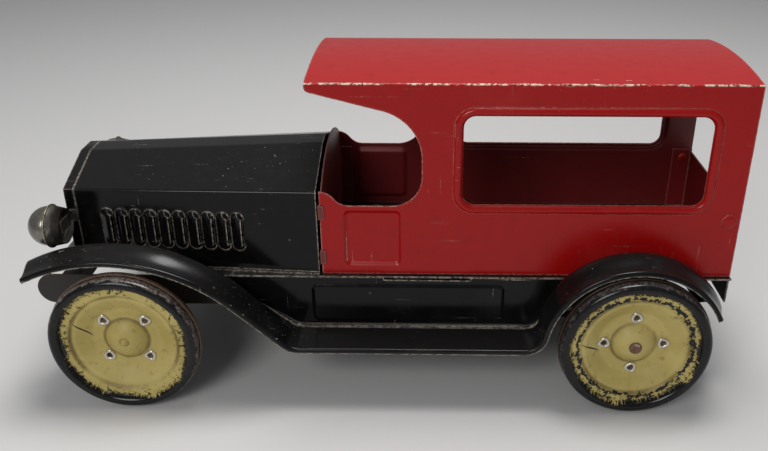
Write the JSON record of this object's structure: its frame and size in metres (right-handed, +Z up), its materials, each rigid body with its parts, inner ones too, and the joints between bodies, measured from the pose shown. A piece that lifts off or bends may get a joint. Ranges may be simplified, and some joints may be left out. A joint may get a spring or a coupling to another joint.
{
  "type": "toy delivery van",
  "caption": "Pressed-steel toy delivery van with a hood, fenders, an open-backed cab, four pressed wheels and a flywheel driven by friction from the rear axle.",
  "frame": {"origin": "centre of the van's footprint on the floor, under the middle of its length", "axes": "+X towards the tail, +Y towards the right side of the van, +Z up"},
  "size_m": [0.379, 0.1652, 0.1753],
  "materials": {
    "red_enamel": "worn gloss brick-red enamel, chipped at the folds",
    "dash_enamel": "dull brown-red enamel",
    "black_enamel": "scratched gloss black enamel with pale worn edges",
    "worn_brass": "worn plated dome with black paint left in patches",
    "lamp_black": "worn black enamel",
    "rusty_black": "black enamel with rust showing",
    "wheel_enamel": "flaking cream-yellow enamel disc in a gloss black tyre",
    "rusty_steel": "rust-brown pressed steel",
    "eyelet_steel": "worn bright eyelets",
    "cast_iron": "rough grey casting",
    "bare_steel": "dull steel with light rust"
  },
  "bodies": {
    "chassis": {"cab_shell": "red_enamel", "dash_panel": "dash_enamel", "tail_panel": "red_enamel", "cab_rivets": "red_enamel", "hood_shell": "black_enamel", "radiator_shell": "black_enamel", "radiator_core": "black_enamel", "left_lamp_dome": "worn_brass", "right_lamp_dome": "worn_brass", "left_lamp_back": "lamp_black", "right_lamp_back": "lamp_black", "left_lamp_bracket": "lamp_black", "right_lamp_bracket": "lamp_black", "front_apron": "black_enamel", "deck": "black_enamel", "left_fender_board": "black_enamel", "right_fender_board": "black_enamel", "left_rail": "rusty_black", "right_rail": "rusty_black", "front_crossmember": "rusty_black", "mid_crossmember": "rusty_black", "rail_rivets": "bare_steel", "left_motor_plate": "bare_steel", "right_motor_plate": "bare_steel", "motor_pillars": "bare_steel", "motor_rivets": "bare_steel"},
    "front_wheels": {"front_axle": "bare_steel", "front_spacers": "bare_steel", "front_left_wheel_face": "wheel_enamel", "front_left_wheel_back": "rusty_steel", "front_left_hub": "bare_steel", "front_left_eyelets": "eyelet_steel", "front_right_wheel_face": "wheel_enamel", "front_right_wheel_back": "rusty_steel", "front_right_hub": "bare_steel", "front_right_eyelets": "eyelet_steel"},
    "rear_wheels": {"rear_axle": "bare_steel", "rear_spacers": "bare_steel", "rear_left_wheel_face": "wheel_enamel", "rear_left_wheel_back": "rusty_steel", "rear_left_hub": "bare_steel", "rear_left_eyelets": "eyelet_steel", "rear_right_wheel_face": "wheel_enamel", "rear_right_wheel_back": "rusty_steel", "rear_right_hub": "bare_steel", "rear_right_eyelets": "eyelet_steel", "friction_wheel": "cast_iron"},
    "flywheel_set": {"flywheel": "cast_iron", "flywheel_arbor": "bare_steel"}
  },
  "joints": [
    {"name": "front_axle_spin", "type": "hinge", "parent": "chassis", "child": "front_wheels", "pos_m": [-0.1325, 0, 0.04], "axis": [0, 1, 0], "continuous": true},
    {"name": "rear_axle_spin", "type": "hinge", "parent": "chassis", "child": "rear_wheels", "pos_m": [0.1355, 0, 0.04], "axis": [0, 1, 0], "continuous": true},
    {"name": "flywheel_spin", "type": "hinge", "parent": "chassis", "child": "flywheel_set", "pos_m": [0.1081, 0, 0.04], "axis": [0, 1, 0], "continuous": true}
  ],
  "couplings": [
    {"joint": "flywheel_spin", "follows": "rear_axle_spin", "ratio": -7.5}
  ]
}
